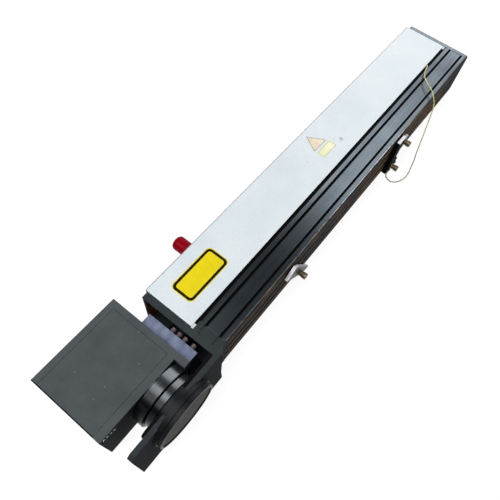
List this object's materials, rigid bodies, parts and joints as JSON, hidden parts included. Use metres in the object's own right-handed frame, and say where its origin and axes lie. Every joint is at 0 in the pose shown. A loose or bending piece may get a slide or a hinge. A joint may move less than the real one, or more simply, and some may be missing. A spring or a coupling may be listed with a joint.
{
  "type": "galvo scanner head",
  "caption": "Laser marking head: long T-slot beam-source housing with a galvo scan head, f-theta lens, window plate, red emission lamp, clamps and earth wire.",
  "frame": {"origin": "centre of the housing's back face, on which the head lies", "axes": "+Z out of the lid, +X along the housing to the rear cap, +Y to the lamp side; the beam leaves along -Y"},
  "size_m": [1.1407, 0.2625, 0.1265],
  "materials": {
    "bare_aluminium": "machined",
    "black_anodised": "black anodised, satin",
    "black_plastic": "moulded",
    "black_rubber": "matt",
    "circuit_board": "solder mask",
    "clear_glass": "coated",
    "dark_anodised": "dark grey anodised, matt",
    "gloss_black_metal": "gloss black anodised",
    "gold_brass": "gold plated",
    "laser_crystal": "polished crystal",
    "lid_sheet": "pale silver coated sheet",
    "optic_mirror": "coated",
    "red_plastic": "translucent, smooth",
    "steel": "zinc plated",
    "tinned_copper": "tinned",
    "violet_anodised": "violet-blue anodised",
    "white_nylon": "moulded",
    "wire_sheath": "yellow and green sheath",
    "yellow_zinc": "yellow zinc plated"
  },
  "bodies": {
    "head": {"base_extrusion": "black_anodised", "front_cap": "dark_anodised", "front_cap_screws": "steel", "rear_cap": "dark_anodised", "rear_cap_screws": "steel", "lid": "lid_sheet", "lid_seals": "black_rubber", "lid_end_blocks": "white_nylon", "lid_bracket": "bare_aluminium", "lid_screw": "steel", "lamp_base": "black_plastic", "lamp_lens": "red_plastic", "lamp_bulb": "clear_glass", "optical_rail": "bare_aluminium", "pump_chamber": "gold_brass", "laser_rod": "laser_crystal", "q_switch": "bare_aluminium", "mirror_mounts": "bare_aluminium", "cavity_mirrors": "optic_mirror", "beam_expander": "gloss_black_metal", "shutter_solenoid": "gold_brass", "beam_tube": "gloss_black_metal", "adapter_plate": "violet_anodised", "adapter_screws": "steel", "scanner_mount_plate": "dark_anodised", "scanner_top_plate": "dark_anodised", "scanner_base_plate": "dark_anodised", "scanner_cover": "dark_anodised", "scanner_end_plate": "black_anodised", "scanner_screws": "steel", "galvo_block": "bare_aluminium", "galvo_x_motor": "black_anodised", "galvo_y_motor": "black_anodised", "driver_boards": "circuit_board", "lens_barrel": "gloss_black_metal", "lens_front_ring": "gloss_black_metal", "lens_rear_glass": "clear_glass", "lens_front_glass": "clear_glass", "nose_deck": "dark_anodised", "gap_shield": "black_anodised", "nose_plate": "dark_anodised", "nose_screws": "steel", "window_ring": "gloss_black_metal", "window_seal": "black_rubber", "window_glass": "clear_glass", "bracket_bar": "black_anodised", "bracket_claw": "bare_aluminium", "bracket_bolts": "yellow_zinc", "bracket_nut": "steel", "wire_grommet": "black_rubber", "earth_lug": "tinned_copper", "earth_wire": "wire_sheath"},
    "sliding_clamp": {"clamp_claw": "bare_aluminium", "clamp_bolt": "yellow_zinc", "clamp_nut": "steel"},
    "x_mirror_shaft": {"galvo_x_rotor": "steel", "galvo_x_mirror": "optic_mirror"},
    "y_mirror_shaft": {"galvo_y_rotor": "steel", "galvo_y_mirror": "optic_mirror"},
    "shutter": {"shutter_flag": "bare_aluminium"}
  },
  "joints": [
    {"name": "clamp_slide", "type": "slide", "parent": "head", "child": "sliding_clamp", "axis": [1, 0, 0], "range_m": [-0.14, 0.26]},
    {"name": "galvo_x", "type": "hinge", "parent": "head", "child": "x_mirror_shaft", "pos_m": [-0.56, 0.023, 0.041], "axis": [0, 1, 0], "range_deg": [-12, 12]},
    {"name": "galvo_y", "type": "hinge", "parent": "head", "child": "y_mirror_shaft", "pos_m": [-0.586, 0, 0.0635], "axis": [1, 0, 0], "range_deg": [-12, 12]},
    {"name": "shutter_turn", "type": "hinge", "parent": "head", "child": "shutter", "pos_m": [-0.19656, 0, 0.067], "axis": [1, 0, 0], "range_deg": [0, 55], "stiffness_Nm_per_rad": 0.01}
  ]
}
